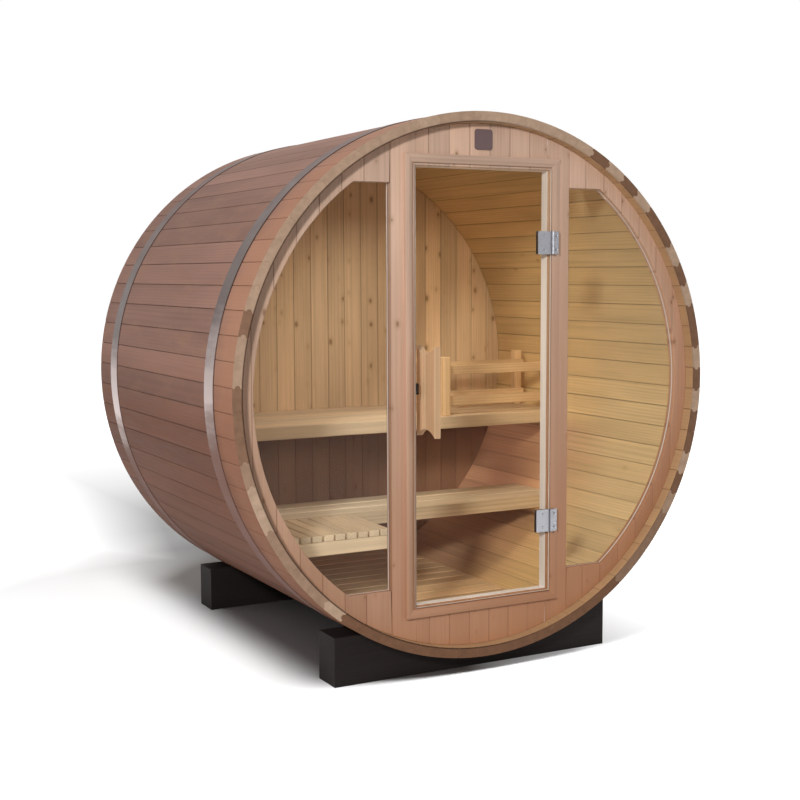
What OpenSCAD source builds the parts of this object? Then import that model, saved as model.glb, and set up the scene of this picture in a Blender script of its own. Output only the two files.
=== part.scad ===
// Barrel sauna: a lying barrel of bead-and-cove staves held by two steel bands on two
// cradles, with a boarded rear wall and a glazed front wall that carries a glass door.
// Millimetres. +Z is up, the front faces -Y, and the origin lies on the ground at the middle.

/* [Barrel] */
// Outer diameter over the staves
barrel_d = 2100; // [1900:10:2400]
// Length of the staves
barrel_len = 1650; // [1500:10:2400]
// Thickness of a stave
stave_t = 40; // [34:1:48]
// Number of staves round the barrel
stave_count = 72; // [64:8:88]
// Radius of the bead that locks one stave into the next
bead_r = 10; // [6:0.5:13]
// Room left in each joint between two staves
joint_gap = 0.3; // [0.2:0.05:0.5]
// Depth of the croze, the groove in the staves that holds an end wall
croze_depth = 10; // [6:1:14]
// Height of the lowest stave above the ground
ground_gap = 60; // [40:5:120]

/* [Bands] */
// Width of a steel band
band_w = 90; // [40:5:120]
// Thickness of a steel band
band_t = 2; // [1.5:0.5:4]
// Distance from the barrel's front end to its band
front_band_inset = 190; // [150:5:260]
// Distance from the barrel's rear end to its band
rear_band_inset = 165; // [120:5:260]

/* [Cradles] */
// Length of a cradle beam across the barrel
cradle_w = 1246; // [1000:10:1500]
// Thickness of a cradle beam along the barrel
cradle_t = 140; // [80:5:180]
// Height of a cradle beam at its ends
cradle_h = 191; // [160:5:240]
// Distance from the barrel's end to the cradle
cradle_inset = 90; // [40:5:140]

/* [End walls] */
// Thickness of an end wall
wall_t = 42; // [34:1:60]
// Distance from the front end of the staves to the front wall
front_recess = 45; // [30:5:80]
// Distance from the rear end of the staves to the rear wall
rear_recess = 95; // [40:5:140]

/* [Windows] */
// Distance from the middle to the straight side of a window
window_x = 405; // [400:5:480]
// Width of the wall between the staves and the round side of a window
window_ring = 58; // [44:2:90]
// Distance from the top of the barrel's inside to the windows' top edge
window_head = 234; // [200:2:340]
// Distance from the bottom of the barrel's inside to the windows' lower edge
window_foot = 256; // [220:2:340]
// Thickness of the glass in the windows and in the door
glass_t = 8; // [6:1:12]

/* [Door] */
// Clear width inside the door's trim
door_w = 624; // [560:2:640]
// Distance from the top of the barrel's inside to the trim's inner edge
door_head = 158; // [130:2:230]
// Distance from the bottom of the barrel's inside to the trim's inner edge
door_foot = 174; // [140:2:230]
// Width of a trim board
trim_w = 34; // [24:1:50]
// Thickness of a trim board
trim_t = 16; // [14:1:24]
// Room between the door's glass and the trim
door_gap = 6; // [5:0.5:10]
// Overlap of the wall behind the door's edge
stop_lap = 14; // [10:1:20]

/* [Hinges] */
// Height of a hinge
hinge_h = 90; // [70:5:120]
// Length of a hinge plate on the glass
hinge_reach = 66; // [40:2:80]
// Width of a hinge plate on the trim
hinge_plate = 25; // [18:1:34]
// Distance from the end of the glass to the middle of a hinge
hinge_inset = 286; // [180:2:400]
// Thickness of a hinge plate
hinge_t = 6; // [5:0.5:8]
// Radius of a hinge knuckle
knuckle_r = 7; // [6:0.5:8]
// Radius of a hinge pin
pin_r = 3; // [2:0.5:4]
// Running clearance between a knuckle and its pin
pin_fit = 0.05; // [0.02:0.01:0.1]

/* [Handle] */
// Length of the handle at its grips
handle_len = 346; // [260:2:420]
// Distance from the middle of the glass down to the middle of the handle
handle_drop = 11; // [0:1:60]
// Width of the handle
handle_w = 28; // [24:1:40]
// Depth of each handle half from the glass
handle_d = 65; // [45:1:80]
// Depth of the hollow in the handle's ends
handle_hollow = 30; // [10:1:36]
// Distance from the handle to the free edge of the glass
handle_inset = 44; // [30:1:80]

/* [Benches] */
// Height of the upper bench
upper_z = 900; // [820:5:960]
// Depth of the upper bench from the rear wall
upper_d = 613; // [400:1:640]
// Height of the lower bench
lower_z = 530; // [480:5:580]
// Distance from the rear wall to the back of the lower bench
lower_back = 440; // [380:5:480]
// Depth of the lower bench
lower_d = 356; // [280:2:380]
// Thickness of a seat slat
slat_t = 26; // [20:1:32]
// Width of a bench slat
slat_w = 84; // [70:1:96]
// Gap between two bench slats
slat_gap = 10; // [6:1:16]
// Thickness of a bench's front board
fascia_t = 24; // [18:1:30]
// Height of a bench's front board
fascia_h = 56; // [44:1:80]
// Thickness of the bearers under a bench
bearer_t = 44; // [36:1:60]

/* [Foot bench] */
// Distance from the middle to the foot bench
foot_x = 250; // [200:5:320]
// Depth of the foot bench in front of the lower bench
foot_d = 372; // [300:2:420]
// Width of a foot bench slat
foot_slat_w = 42; // [34:1:50]
// Gap between two foot bench slats
foot_slat_gap = 8; // [6:1:12]
// How far the foot bench's slats stand out over its front board
foot_lip = 4; // [2:1:12]

/* [Guard rail] */
// Thickness of a guard post
post_t = 38; // [30:1:46]
// Height of a guard post above the upper bench
post_h = 270; // [220:5:320]
// Distance from the middle to the guard's left side
guard_x = 335; // [280:5:400]
// Depth of the guard from front to back
guard_d = 330; // [280:5:380]
// Distance from the guard's right side to the staves
guard_clear = 34; // [10:2:60]
// Height of a guard rail
rail_h = 44; // [36:1:56]
// Thickness of a guard rail
rail_t = 22; // [16:1:28]
// Height of the lower rail above the bench
rail_low = 40; // [30:2:60]
// Height of the upper rail above the bench
rail_high = 184; // [160:2:220]

/* [Floor] */
// Height of the floor above the lowest point inside the barrel
floor_rise = 80; // [60:5:110]
// Thickness of a floor slat
floor_t = 26; // [20:1:32]
// Width of a floor slat
floor_slat_w = 90; // [70:1:110]
// Gap between two floor slats
floor_gap = 10; // [6:1:16]
// Distance from the middle to an outer floor batten
batten_x = 220; // [160:5:240]

/* [Small parts] */
// Side of the bare plate over the door
plate_side = 78; // [60:2:90]
// Thickness of the bare plate
plate_t = 4; // [3:0.5:6]
// Height of the door's catch
catch_h = 42; // [30:1:60]

/* [Hidden] */
$fn = 256;
// Room between a piece and the curved face that it seats on
seat = 0.3;
// How far the door's glass lies behind the face of its trim
glass_set = 1;
// How far a cutting shape runs on past the piece that it cuts
over = 1;
outer_r = barrel_d / 2;
inner_r = outer_r - stave_t;
mid_r = outer_r - stave_t / 2;
pitch = 360 / stave_count;
axis_z = ground_gap + outer_r;
// The handle stands out past the staves, and the origin is the middle of the whole length
handle_over = max(0, handle_d + trim_t - glass_set - front_recess);
front_end = (handle_over - barrel_len) / 2;
rear_end = front_end + barrel_len;

// End walls, held in the crozes
front_y = front_end + front_recess;
front_back_y = front_y + wall_t;
rear_y = rear_end - rear_recess - wall_t;
croze_r = inner_r + croze_depth;
wall_r = croze_r - seat;

// Windows, measured from the barrel's axis
window_r = inner_r - window_ring;
window_above = inner_r - window_head;
window_below = inner_r - window_foot;

// Door opening, trim and glass, measured from the barrel's axis
door_above = inner_r - door_head;
door_below = inner_r - door_foot;
opening_x = door_w / 2 - stop_lap;
opening_above = door_above - stop_lap;
opening_below = door_below - stop_lap;
trim_x = door_w / 2;
trim_y = front_y - trim_t;
glass_x = door_w / 2 - door_gap;
glass_top = axis_z + door_above - door_gap;
glass_bottom = axis_z - door_below + door_gap;
glass_y = trim_y + glass_set;
glass_mid_z = (glass_top + glass_bottom) / 2;

// Hinge axis, in the gap between the glass and the trim and in front of both
hinge_x = (glass_x + trim_x) / 2;
hinge_clear = 2;
hinge_y = trim_y - knuckle_r - hinge_clear;
hinge_rise = (glass_top - glass_bottom) / 2 - hinge_inset;
knuckle_h = hinge_h / 3;
knuckle_gap = 0.6;
leaf_gap = 3;
leaf_w = min(hinge_plate, trim_w);

// The bare plate lies midway between the door's trim and the staves
plate_above = (door_above + trim_w + inner_r) / 2;

// Staves in each eighth of the barrel
eighth_staves = stave_count / 8;

// Room beside a band where it runs through a cradle
band_relief = 2;

// Benches
upper_rear = rear_y - seat;
upper_front = rear_y - upper_d;
lower_rear = rear_y - lower_back;
lower_front = lower_rear - lower_d;
foot_front = lower_front - foot_d;
bearer_h = fascia_h;

// Guard posts on the upper bench
guard_front = upper_front + fascia_t;
guard_rear = guard_front + guard_d;
guard_drop = max(abs(upper_z - axis_z), abs(upper_z + post_h - axis_z));
guard_right = sqrt(pow(inner_r, 2) - pow(guard_drop, 2)) - guard_clear;

// Floor
floor_z = axis_z - inner_r + floor_rise;

wood_out = [0.58, 0.42, 0.36];
wood_wall = [0.80, 0.62, 0.48];
wood_in = [0.83, 0.67, 0.42];
wood_pale = [0.87, 0.75, 0.54];
wood_dark = [0.14, 0.11, 0.10];
steel = [0.62, 0.63, 0.65];
clear = [0.80, 0.88, 0.88, 0.35];

// A flat outline in the X-Z plane, measured from the barrel's axis, made thick along +Y
module along_barrel(y, thickness) {
  translate([0, y + thickness, axis_z])
    rotate([90, 0, 0])
      linear_extrude(height = thickness)
        children();
}

// A solid cylinder on the barrel's axis
module barrel_core(radius, y, length) {
  translate([0, y + length, axis_z])
    rotate([90, 0, 0])
      cylinder(r = radius, h = length);
}

// A box given by its two corners
module box(low, high) {
  translate(low)
    cube(high - low);
}

// The barrel's inside, for cutting pieces to the shell
module inside() {
  barrel_core(inner_r - seat, front_end, barrel_len);
}

// Section of one stave lying on +X: a bead on one edge, a cove on the other
module stave_section() {
  half = pitch / 2;
  apex = joint_gap / 2 / sin(half);
  far = outer_r + stave_t;
  difference() {
    union() {
      intersection() {
        difference() {
          circle(r = outer_r);
          circle(r = inner_r);
        }
        polygon([
          [apex, 0],
          [far, -(far - apex) * tan(half)],
          [far, (far - apex) * tan(half)]
        ]);
      }
      rotate(-half)
        translate([mid_r, 0])
          circle(r = bead_r);
    }
    rotate(half)
      translate([mid_r, 0])
        circle(r = bead_r + joint_gap);
  }
}

// One stave at an angle from +X, with the two crozes cut across its inside
module stave(angle) {
  difference() {
    along_barrel(front_end, barrel_len)
      rotate(angle)
        stave_section();
    barrel_core(croze_r, front_y - seat, wall_t + 2 * seat);
    barrel_core(croze_r, rear_y - seat, wall_t + 2 * seat);
  }
}

// One eighth of the staves, counted clockwise from the top as seen from the front
module staves_eighth(turn) {
  color(wood_out)
    for (i = [0 : eighth_staves - 1])
      stave(90 - 45 * turn + (i - (eighth_staves - 1) / 2) * pitch);
}

module band(y) {
  color(steel)
    along_barrel(y, band_w)
      difference() {
        circle(r = outer_r + seat + band_t);
        circle(r = outer_r + seat);
      }
}

module front_band() {
  band(front_end + front_band_inset);
}

module rear_band() {
  band(rear_end - rear_band_inset - band_w);
}

// A beam with a round saddle, relieved where a band runs through it
module cradle(y, band_y) {
  color(wood_dark)
    difference() {
      box([-cradle_w / 2, y, 0], [cradle_w / 2, y + cradle_t, cradle_h]);
      barrel_core(outer_r + seat, y - over, cradle_t + 2 * over);
      barrel_core(outer_r + 2 * seat + band_t, band_y - band_relief, band_w + 2 * band_relief);
    }
}

module front_cradle() {
  cradle(front_end + cradle_inset, front_end + front_band_inset);
}

module rear_cradle() {
  cradle(rear_end - cradle_inset - cradle_t, rear_end - rear_band_inset - band_w);
}

module rear_wall() {
  color(wood_in)
    barrel_core(wall_r, rear_y, wall_t);
}

// A stretch of the front wall between two X values and two heights from the axis
module front_wall_piece(x0, x1, z0, z1) {
  intersection() {
    circle(r = wall_r);
    translate([x0, z0])
      square([x1 - x0, z1 - z0]);
  }
}

module stile(side) {
  color(wood_wall)
    along_barrel(front_y, wall_t)
      if (side > 0)
        front_wall_piece(opening_x, window_x, -outer_r, outer_r);
      else
        front_wall_piece(-window_x, -opening_x, -outer_r, outer_r);
}

module left_stile() {
  stile(-1);
}

module right_stile() {
  stile(1);
}

module door_head_panel() {
  color(wood_wall)
    along_barrel(front_y, wall_t)
      front_wall_piece(-opening_x, opening_x, opening_above, outer_r);
}

module door_sill_panel() {
  color(wood_wall)
    along_barrel(front_y, wall_t)
      front_wall_piece(-opening_x, opening_x, -outer_r, -opening_below);
}

// Outline of the right window: straight towards the door, round along the barrel
module window_outline(radius) {
  intersection() {
    circle(r = radius);
    translate([window_x, -window_below])
      square([outer_r, window_above + window_below]);
  }
}

module window_surround() {
  color(wood_wall)
    along_barrel(front_y, wall_t)
      difference() {
        front_wall_piece(window_x, outer_r, -outer_r, outer_r);
        window_outline(window_r);
      }
}

module right_window_surround() {
  window_surround();
}

module left_window_surround() {
  mirror([1, 0, 0])
    window_surround();
}

module window_glass() {
  color(clear)
    along_barrel(front_y + (wall_t - glass_t) / 2, glass_t)
      window_outline(window_r - seat);
}

module right_window_glass() {
  window_glass();
}

module left_window_glass() {
  mirror([1, 0, 0])
    window_glass();
}

// One mitred trim board: the part of the trim's frame that lies in a corner-to-corner wedge
module trim_board(corners) {
  color(wood_wall)
    along_barrel(trim_y, trim_t)
      polygon(corners);
}

module door_trim_left() {
  trim_board([
    [-trim_x - trim_w, -door_below - trim_w],
    [-trim_x, -door_below],
    [-trim_x, door_above],
    [-trim_x - trim_w, door_above + trim_w]
  ]);
}

module door_trim_right() {
  mirror([1, 0, 0])
    door_trim_left();
}

module door_trim_head() {
  trim_board([
    [-trim_x - trim_w, door_above + trim_w],
    [-trim_x, door_above],
    [trim_x, door_above],
    [trim_x + trim_w, door_above + trim_w]
  ]);
}

module door_trim_sill() {
  trim_board([
    [-trim_x - trim_w, -door_below - trim_w],
    [-trim_x, -door_below],
    [trim_x, -door_below],
    [trim_x + trim_w, -door_below - trim_w]
  ]);
}

// Places one hinge at the upper and one at the lower height
module at_hinges() {
  for (side = [-1, 1])
    translate([hinge_x, hinge_y, glass_mid_z + side * hinge_rise])
      children();
}

// The leaf on the trim carries the outer two knuckles
module frame_leaf() {
  difference() {
    union() {
      box([trim_x - hinge_x, trim_y - hinge_y - hinge_t, -hinge_h / 2],
          [trim_x - hinge_x + leaf_w, trim_y - hinge_y, hinge_h / 2]);
      for (end = [-1, 1])
        translate([0, 0, end * (hinge_h - knuckle_h) / 2]) {
          cylinder(r = knuckle_r, h = knuckle_h, center = true);
          box([0, 0, -knuckle_h / 2], [trim_x - hinge_x + over, knuckle_r, knuckle_h / 2]);
        }
    }
    cylinder(r = pin_r, h = hinge_h + 2 * over, center = true);
    cylinder(r = knuckle_r + leaf_gap, h = knuckle_h, center = true);
  }
}

module frame_hinge_leaves() {
  color(steel)
    at_hinges()
      frame_leaf();
}

module hinge_pins() {
  color(steel)
    at_hinges()
      cylinder(r = pin_r, h = hinge_h, center = true);
}

// The leaf on the glass carries the middle knuckle and clamps the glass with a back plate
module door_leaf() {
  middle_h = knuckle_h - 2 * knuckle_gap;
  front = glass_y - hinge_y;
  edge = glass_x - hinge_x;
  difference() {
    union() {
      box([edge - hinge_reach, front - hinge_t, -hinge_h / 2],
          [edge - leaf_gap, front, hinge_h / 2]);
      cylinder(r = knuckle_r, h = middle_h, center = true);
      box([edge - hinge_reach / 2, front - hinge_t, -middle_h / 2],
          [0, knuckle_r, middle_h / 2]);
    }
    cylinder(r = pin_r + pin_fit, h = hinge_h + 2 * over, center = true);
  }
  box([edge - hinge_reach, front + glass_t, -hinge_h / 2],
      [edge - 2 * stop_lap, front + glass_t + hinge_t / 2, hinge_h / 2]);
}

module door_hinge_leaves() {
  color(steel)
    at_hinges()
      door_leaf();
}

module door_catch() {
  color(wood_dark)
    box([-opening_x, front_y, glass_mid_z - catch_h / 2],
        [-opening_x + stop_lap, front_y + wall_t / 2, glass_mid_z + catch_h / 2]);
}

module bare_plate() {
  color(wood_dark)
    box([-plate_side / 2, front_y - plate_t, axis_z + plate_above - plate_side / 2],
        [plate_side / 2, front_y, axis_z + plate_above + plate_side / 2]);
}

module door_glass() {
  color(clear)
    box([-glass_x, glass_y, glass_bottom], [glass_x, glass_y + glass_t, glass_top]);
}

// One half of the handle, its ends hollowed by a round that runs on through the glass
module handle_half(y) {
  round_r = (pow(handle_d, 2) + pow(handle_hollow, 2)) / (2 * handle_hollow);
  waist = handle_len / 2 - handle_hollow;
  color(wood_pale)
    translate([-glass_x + handle_inset, y, glass_mid_z - handle_drop])
      difference() {
        translate([0, 0, -handle_len / 2])
          cube([handle_w, handle_d, handle_len]);
        for (end = [-1, 1])
          translate([-over, glass_side(y), end * (waist + round_r)])
            rotate([0, 90, 0])
              cylinder(r = round_r, h = handle_w + 2 * over);
      }
}

// Where the glass lies as seen from a handle half
function glass_side(y) = y < glass_y ? handle_d : 0;

module handle_outside() {
  handle_half(glass_y - handle_d);
}

module handle_inside() {
  handle_half(glass_y + glass_t);
}

// Slats along X, cut to the shell, from one depth to another at a given top height
module bench_slats(y0, y1, top) {
  count = floor((y1 - y0 + slat_gap) / (slat_w + slat_gap));
  step = (y1 - y0 + slat_gap) / count;
  color(wood_pale)
    intersection() {
      for (i = [0 : count - 1])
        box([-outer_r, y0 + i * step, top - slat_t],
            [outer_r, y0 + (i + 1) * step - slat_gap, top]);
      inside();
    }
}

// The board along a bench's front edge
module bench_fascia(y, top) {
  color(wood_pale)
    intersection() {
      box([-outer_r, y, top - fascia_h], [outer_r, y + fascia_t, top]);
      inside();
    }
}

// A bearer at each end, shaped to the shell, under the slats
module bench_bearers(y0, y1, top) {
  low = top - slat_t - bearer_h;
  reach = sqrt(pow(inner_r, 2) - pow(low - axis_z, 2));
  color(wood_in)
    for (side = [0, 1])
      mirror([side, 0, 0])
        intersection() {
          box([reach - bearer_t, y0, low], [outer_r, y1, top - slat_t]);
          inside();
        }
}

module upper_bench_slats() {
  bench_slats(upper_front + fascia_t, upper_rear, upper_z);
}

module upper_bench_fascia() {
  bench_fascia(upper_front, upper_z);
}

module upper_bench_bearers() {
  bench_bearers(upper_front + fascia_t, upper_rear, upper_z);
}

module lower_bench_slats() {
  bench_slats(lower_front + fascia_t, lower_rear, lower_z);
}

module lower_bench_fascia() {
  bench_fascia(lower_front, lower_z);
}

module lower_bench_bearers() {
  bench_bearers(lower_front + fascia_t, lower_rear, lower_z);
}

// Slats along Y in front of the lower bench's left end
module foot_bench_slats() {
  reach = sqrt(pow(inner_r, 2) - pow(lower_z - axis_z, 2));
  step = foot_slat_w + foot_slat_gap;
  count = floor((reach - foot_x) / step);
  color(wood_pale)
    intersection() {
      for (i = [0 : count])
        box([-foot_x - i * step - foot_slat_w, foot_front, lower_z - slat_t],
            [-foot_x - i * step, lower_front, lower_z]);
      inside();
    }
}

// Front board, rear ledger and side rail that carry the foot bench's slats
module foot_bench_frame() {
  top = lower_z - slat_t;
  low = top - fascia_h;
  front = foot_front + foot_lip;
  rear = lower_front - fascia_t;
  color(wood_pale)
    intersection() {
      union() {
        box([-outer_r, front, low], [-foot_x, front + fascia_t, top]);
        box([-outer_r, rear, low], [-foot_x, lower_front, top]);
        box([-foot_x - fascia_t, front + fascia_t + seat, low], [-foot_x, rear - seat, top]);
      }
      inside();
    }
}

// Four posts that stand on the upper bench, two at the front and two at the back
module guard_posts() {
  color(wood_pale)
    for (x = [guard_x, guard_right - post_t])
      for (y = [guard_front, guard_rear - post_t])
        box([x, y, upper_z], [x + post_t, y + post_t, upper_z + post_h]);
}

// Two rails on three sides of the guard, on the inner faces of its posts
module guard_rails() {
  front = guard_front + post_t;
  rear = guard_rear - post_t;
  color(wood_pale)
    for (z = [upper_z + rail_low, upper_z + rail_high]) {
      box([guard_x, front, z], [guard_right, front + rail_t, z + rail_h]);
      box([guard_x, rear - rail_t, z], [guard_right, rear, z + rail_h]);
      box([guard_x, front + rail_t + seat, z], [guard_x + rail_t, rear - rail_t - seat, z + rail_h]);
    }
}

// Slats across the floor, their ends cut to the shell
module floor_slats() {
  length = rear_y - front_back_y;
  step = floor_slat_w + floor_gap;
  count = floor((length + floor_gap) / step);
  start = front_back_y + (length - count * step + floor_gap) / 2;
  color(wood_in)
    intersection() {
      for (i = [0 : count - 1])
        box([-outer_r, start + i * step, floor_z - floor_t],
            [outer_r, start + i * step + floor_slat_w, floor_z]);
      inside();
    }
}

// Three battens along the barrel that carry the floor
module floor_battens() {
  color(wood_in)
    intersection() {
      for (x = [-batten_x, 0, batten_x])
        box([x - bearer_t / 2, front_back_y + seat, 0],
            [x + bearer_t / 2, rear_y - seat, floor_z - floor_t]);
      inside();
    }
}

staves_eighth(0);  // staves_top
staves_eighth(1);  // staves_top_right
staves_eighth(2);  // staves_right
staves_eighth(3);  // staves_bottom_right
staves_eighth(4);  // staves_bottom
staves_eighth(5);  // staves_bottom_left
staves_eighth(6);  // staves_left
staves_eighth(7);  // staves_top_left
front_band();
rear_band();
front_cradle();
rear_cradle();
rear_wall();
left_stile();
right_stile();
door_head_panel();
door_sill_panel();
left_window_surround();
right_window_surround();
left_window_glass();
right_window_glass();
door_trim_left();
door_trim_right();
door_trim_head();
door_trim_sill();
frame_hinge_leaves();
hinge_pins();
door_catch();
bare_plate();
door_glass();
door_hinge_leaves();
handle_outside();
handle_inside();
upper_bench_slats();
upper_bench_fascia();
upper_bench_bearers();
lower_bench_slats();
lower_bench_fascia();
lower_bench_bearers();
foot_bench_slats();
foot_bench_frame();
guard_posts();
guard_rails();
floor_slats();
floor_battens();
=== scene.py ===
"""Looks of the barrel sauna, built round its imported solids.

Every piece is modelled in metres in the frame of the solids: +Z is up and the front faces -Y.
"""

import math
import random

import bmesh
import bpy
from bpy.props import FloatProperty, FloatVectorProperty, IntProperty, PointerProperty
from bpy.types import Operator, Panel, PropertyGroup
from mathutils import Color, Matrix, Vector


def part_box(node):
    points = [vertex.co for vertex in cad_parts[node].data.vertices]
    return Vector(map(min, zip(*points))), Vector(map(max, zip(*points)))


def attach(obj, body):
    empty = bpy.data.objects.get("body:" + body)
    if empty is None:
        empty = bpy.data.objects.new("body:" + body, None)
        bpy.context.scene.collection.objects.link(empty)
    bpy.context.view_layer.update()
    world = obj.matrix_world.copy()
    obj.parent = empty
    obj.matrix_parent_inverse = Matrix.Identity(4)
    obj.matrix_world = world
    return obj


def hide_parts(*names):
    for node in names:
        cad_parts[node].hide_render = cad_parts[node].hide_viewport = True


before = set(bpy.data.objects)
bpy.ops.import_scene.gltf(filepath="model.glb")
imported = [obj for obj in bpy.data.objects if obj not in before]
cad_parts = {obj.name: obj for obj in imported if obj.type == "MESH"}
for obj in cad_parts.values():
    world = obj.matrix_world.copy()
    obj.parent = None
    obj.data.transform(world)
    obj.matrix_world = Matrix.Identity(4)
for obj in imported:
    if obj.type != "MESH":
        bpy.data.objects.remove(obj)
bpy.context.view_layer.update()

bl_info = {
    "name": "Barrel Sauna",
    "version": (1, 0, 0),
    "blender": (4, 5, 0),
    "location": "3D View > Sidebar > Sauna",
    "description": "Staves, bands, boarded walls, glass door and benches of a barrel sauna",
    "category": "Add Mesh",
}

STAVE_NODES = (
    "staves_top", "staves_top_right", "staves_right", "staves_bottom_right",
    "staves_bottom", "staves_bottom_left", "staves_left", "staves_top_left",
)
BAND_NODES = ("front_band", "rear_band")
# Each part of the benches and the floor, its kind of wood and the way of its grain
BENCH_PARTS = (
    ("upper_bench_slats", "bench", "X"),
    ("upper_bench_fascia", "bench", "X"),
    ("upper_bench_bearers", "inner", "Y"),
    ("lower_bench_slats", "lower", "X"),
    ("lower_bench_fascia", "bench", "X"),
    ("lower_bench_bearers", "inner", "Y"),
    ("foot_bench_slats", "bench", "Y"),
    ("foot_bench_frame", "bench", "X"),
    ("guard_posts", "guard", "Z"),
    ("guard_rails", "guard", "X"),
    ("floor_slats", "inner", "X"),
    ("floor_battens", "inner", "Y"),
)

# Measures read from the imported solids
TOP_LOW, TOP_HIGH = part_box("staves_top")
OUTER_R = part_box("staves_right")[1].x
AXIS_Z = TOP_HIGH.z - OUTER_R
FRONT_END = TOP_LOW.y
REAR_END = TOP_HIGH.y
REVEAL_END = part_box("left_stile")[0].y
REVEAL_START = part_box("rear_wall")[1].y
MIDDLE = (0.0, 0.0, AXIS_Z)

# Points nearer than this are one
MERGE_WITHIN = 1e-6
# Points nearer than this lie on the same face
LEVEL_WITHIN = 1e-4
# Faces that turn less than this are one, on a solid and on a cut board
FLAT_WITHIN = math.radians(0.5)
BOARD_FLAT_WITHIN = math.radians(0.3)
# Edges that turn more than this are sharp
SHARP_FROM = math.radians(38)
# Room between the edge of a wall and the inside of the staves
CROZE_ROOM = 0.0004
# Straight pieces that make up the round of a band, a bead or cove, and a stave's two faces
BAND_STEPS = 180
BEAD_STEPS = 8
OUTSIDE_STEPS = 5
INSIDE_STEPS = 4
# Edges longer than this run along a trim board
TRIM_LONG = 0.2
# From the face of a hinge plate to the middle of a screw head
SCREW_RISE = 0.001
# Heights of a plate's two screws, as shares of its own
SCREW_SHARES = (0.2, 0.8)

AXES = "XYZ"
WHITE = (1.0, 1.0, 1.0)
# Half the width of the painted shadow line beside a band
BAND_SHADE = 0.003
# Width over which the staves' inside changes colour at the end walls
REVEAL_FADE = 0.002
# From the middle of a joint to where its dirt starts to fade and where it ends
SEAM_FADES = (0.0012, 0.0034)
# From the front end of the staves to where their fresher stain starts to fade and where it ends
FRESH_FADES = (0.10, 0.27)
# Above and below the axis, between which the staves turn darker with painted shade
LOW_FADE = 0.14
# Endings of the names of a pane's edges, with their dull and their bright colour
PANE_EDGES = (
    ("_lit_edge", (0.66, 0.58, 0.53, 1.0), (0.80, 0.73, 0.68, 1.0)),
    ("_shaded_edge", (0.26, 0.20, 0.16, 1.0), (0.36, 0.29, 0.24, 1.0)),
)

SENSOR_WIDTH = 36.0
# Half the width of the pale floor
FLOOR_HALF = 40.0
# Angle over which the bench lamp shines
BENCH_BEAM = math.radians(75)
# Each lamp, its place, the point it shines at, its width and its tint
LAMPS = (
    ("key", (-4.7, -5.3, 3.3), MIDDLE, 0.7, WHITE),
    ("fill", (5.2, -3.6, 2.6), MIDDLE, 3.5, WHITE),
    ("back", (3.0, 4.5, 4.5), MIDDLE, 2.6, WHITE),
    ("floor", (-3.3, -3.0, 7.0), (-0.3, 0.3, 0.0), 2.2, WHITE),
    ("inside", (-3.0, -6.4, 2.5), MIDDLE, 1.0, WHITE),
    ("room", (0.1, -0.1, AXIS_Z + 0.67), (0.1, 0.0, 0.0), 0.4, (1.0, 0.95, 0.87)),
    ("bench", (0.0, 0.0, 0.70), (0.9, 0.6, 0.66), 0.25, (1.0, 0.78, 0.80)),
)


class SaunaSizes(PropertyGroup):
    """Sizes of the pieces that the solids leave plain."""

    stave_count: IntProperty(
        name="Staves", description="Number of staves round the barrel", default=72, min=8)
    stave_thickness: FloatProperty(
        name="Stave thickness", description="Thickness of a stave", default=0.040, unit="LENGTH")
    bead_radius: FloatProperty(
        name="Bead radius", description="Radius of the bead that locks one stave into the next",
        default=0.010, unit="LENGTH")
    joint_gap: FloatProperty(
        name="Joint gap", description="Room in the joint between two staves",
        default=0.0006, unit="LENGTH")
    stave_ease: FloatProperty(
        name="Stave easing", description="Chamfer along the joints of the staves",
        default=0.0024, unit="LENGTH")
    board_width: FloatProperty(
        name="Board width", description="Width of an upright board in the end walls",
        default=0.090, unit="LENGTH")
    board_start: FloatProperty(
        name="Board start", description="Distance from the middle to the first board joint",
        default=0.031, unit="LENGTH")
    board_ease: FloatProperty(
        name="Board easing", description="Chamfer along the edges of a board",
        default=0.0026, unit="LENGTH")
    slat_ease: FloatProperty(
        name="Slat easing", description="Rounding of the slats, posts and rails",
        default=0.0032, unit="LENGTH")
    cradle_ease: FloatProperty(
        name="Cradle easing", description="Rounding of the cradle beams",
        default=0.005, unit="LENGTH")
    handle_ease: FloatProperty(
        name="Handle easing", description="Rounding of the door handles",
        default=0.006, unit="LENGTH")
    steel_ease: FloatProperty(
        name="Steel easing", description="Rounding of the steel edges",
        default=0.0008, unit="LENGTH")
    pane_edge: FloatProperty(
        name="Ground edge", description="Chamfer of the ground edge round a pane",
        default=0.001, unit="LENGTH")
    trim_lip: FloatProperty(
        name="Trim lip", description="Thickness of the trim at its edge towards the door",
        default=0.008, unit="LENGTH")
    trim_slope: FloatProperty(
        name="Trim slope", description="Width of the sloping part of the trim",
        default=0.020, unit="LENGTH")
    trim_ease: FloatProperty(
        name="Trim easing", description="Rounding along the edges of the trim",
        default=0.002, unit="LENGTH")
    plate_corner: FloatProperty(
        name="Plate corner", description="Corner radius of the bare plate",
        default=0.011, unit="LENGTH")
    screw_radius: FloatProperty(
        name="Screw head", description="Radius of a screw head on the hinges",
        default=0.0055, unit="LENGTH")


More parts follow.
